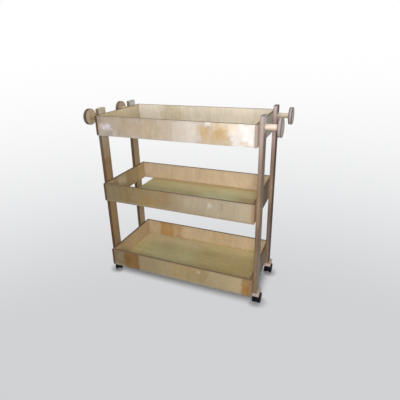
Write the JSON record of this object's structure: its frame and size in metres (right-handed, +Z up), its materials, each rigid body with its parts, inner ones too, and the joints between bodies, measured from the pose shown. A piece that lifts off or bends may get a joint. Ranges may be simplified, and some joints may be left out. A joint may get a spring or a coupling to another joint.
{
  "type": "storage trolley",
  "caption": "Plywood storage trolley with open trays between plank posts, a disc-ended peg on each post and twin-wheel swivel casters.",
  "frame": {"origin": "on the ground under the middle of the trolley", "axes": "+X along the trays to the right seen from the front, +Y to the back, +Z up"},
  "size_m": [0.978, 0.4, 0.953],
  "materials": {
    "panel_ply": "clear-varnished birch plywood, worn",
    "floor_ply": "clear-varnished birch plywood, glossy",
    "post_ply": "clear-varnished birch plywood, edges showing",
    "dowel_wood": "turned birch dowel, varnished",
    "disc_ply": "sanded birch plywood",
    "pad_ply": "sanded birch plywood",
    "hood_plastic": "moulded nylon",
    "wheel_plastic": "moulded nylon",
    "zinc_steel": "zinc-plated",
    "black_steel": "blackened",
    "screw_steel": "zinc-plated"
  },
  "bodies": {
    "trolley": {"bottom_tray_back": "panel_ply", "bottom_tray_floor": "floor_ply", "bottom_tray_front": "panel_ply", "bottom_tray_left_end": "panel_ply", "bottom_tray_right_end": "panel_ply", "caster_pad_front_left": "pad_ply", "caster_pad_front_right": "pad_ply", "caster_pad_rear_left": "pad_ply", "caster_pad_rear_right": "pad_ply", "caster_plate_front_left": "zinc_steel", "caster_plate_front_right": "zinc_steel", "caster_plate_rear_left": "zinc_steel", "caster_plate_rear_right": "zinc_steel", "caster_screws": "zinc_steel", "corner_screws": "screw_steel", "king_pins": "zinc_steel", "middle_tray_back": "panel_ply", "middle_tray_floor": "floor_ply", "middle_tray_front": "panel_ply", "middle_tray_left_end": "panel_ply", "middle_tray_right_end": "panel_ply", "pad_screws": "screw_steel", "peg_disc_front_left": "disc_ply", "peg_disc_front_right": "disc_ply", "peg_disc_rear_left": "disc_ply", "peg_disc_rear_right": "disc_ply", "peg_dowel_front_left": "dowel_wood", "peg_dowel_front_right": "dowel_wood", "peg_dowel_rear_left": "dowel_wood", "peg_dowel_rear_right": "dowel_wood", "peg_screws": "screw_steel", "post_front_left": "post_ply", "post_front_right": "post_ply", "post_rear_left": "post_ply", "post_rear_right": "post_ply", "post_screws": "screw_steel", "swivel_washers": "zinc_steel", "top_tray_back": "panel_ply", "top_tray_floor": "floor_ply", "top_tray_front": "panel_ply", "top_tray_left_end": "panel_ply", "top_tray_right_end": "panel_ply"},
    "swivel_front_left": {"caster_hood_front_left": "hood_plastic", "caster_axle_front_left": "black_steel"},
    "wheel_front_left_left": {"caster_wheel_front_left_left": "wheel_plastic"},
    "wheel_front_left_right": {"caster_wheel_front_left_right": "wheel_plastic"},
    "swivel_front_right": {"caster_hood_front_right": "hood_plastic", "caster_axle_front_right": "black_steel"},
    "wheel_front_right_left": {"caster_wheel_front_right_left": "wheel_plastic"},
    "wheel_front_right_right": {"caster_wheel_front_right_right": "wheel_plastic"},
    "swivel_rear_left": {"caster_hood_rear_left": "hood_plastic", "caster_axle_rear_left": "black_steel"},
    "wheel_rear_left_left": {"caster_wheel_rear_left_left": "wheel_plastic"},
    "wheel_rear_left_right": {"caster_wheel_rear_left_right": "wheel_plastic"},
    "swivel_rear_right": {"caster_hood_rear_right": "hood_plastic", "caster_axle_rear_right": "black_steel"},
    "wheel_rear_right_left": {"caster_wheel_rear_right_left": "wheel_plastic"},
    "wheel_rear_right_right": {"caster_wheel_rear_right_right": "wheel_plastic"}
  },
  "joints": [
    {"name": "swivel_front_left_turn", "type": "hinge", "parent": "trolley", "child": "swivel_front_left", "pos_m": [-0.413, -0.138, 0.06], "axis": [0, 0, 1], "continuous": true},
    {"name": "wheel_front_left_left_spin", "type": "hinge", "parent": "swivel_front_left", "child": "wheel_front_left_left", "pos_m": [-0.42328, -0.12574, 0.025], "axis": [0.766, 0.6428, 0], "continuous": true},
    {"name": "wheel_front_left_right_spin", "type": "hinge", "parent": "swivel_front_left", "child": "wheel_front_left_right", "pos_m": [-0.42328, -0.12574, 0.025], "axis": [0.766, 0.6428, 0], "continuous": true},
    {"name": "swivel_front_right_turn", "type": "hinge", "parent": "trolley", "child": "swivel_front_right", "pos_m": [0.413, -0.138, 0.06], "axis": [0, 0, 1], "continuous": true},
    {"name": "wheel_front_right_left_spin", "type": "hinge", "parent": "swivel_front_right", "child": "wheel_front_right_left", "pos_m": [0.413, -0.122, 0.025], "axis": [1, 0, 0], "continuous": true},
    {"name": "wheel_front_right_right_spin", "type": "hinge", "parent": "swivel_front_right", "child": "wheel_front_right_right", "pos_m": [0.413, -0.122, 0.025], "axis": [1, 0, 0], "continuous": true},
    {"name": "swivel_rear_left_turn", "type": "hinge", "parent": "trolley", "child": "swivel_rear_left", "pos_m": [-0.413, 0.138, 0.06], "axis": [0, 0, 1], "continuous": true},
    {"name": "wheel_rear_left_left_spin", "type": "hinge", "parent": "swivel_rear_left", "child": "wheel_rear_left_left", "pos_m": [-0.42328, 0.15026, 0.025], "axis": [0.766, 0.6428, 0], "continuous": true},
    {"name": "wheel_rear_left_right_spin", "type": "hinge", "parent": "swivel_rear_left", "child": "wheel_rear_left_right", "pos_m": [-0.42328, 0.15026, 0.025], "axis": [0.766, 0.6428, 0], "continuous": true},
    {"name": "swivel_rear_right_turn", "type": "hinge", "parent": "trolley", "child": "swivel_rear_right", "pos_m": [0.413, 0.138, 0.06], "axis": [0, 0, 1], "continuous": true},
    {"name": "wheel_rear_right_left_spin", "type": "hinge", "parent": "swivel_rear_right", "child": "wheel_rear_right_left", "pos_m": [0.413, 0.154, 0.025], "axis": [1, 0, 0], "continuous": true},
    {"name": "wheel_rear_right_right_spin", "type": "hinge", "parent": "swivel_rear_right", "child": "wheel_rear_right_right", "pos_m": [0.413, 0.154, 0.025], "axis": [1, 0, 0], "continuous": true}
  ]
}
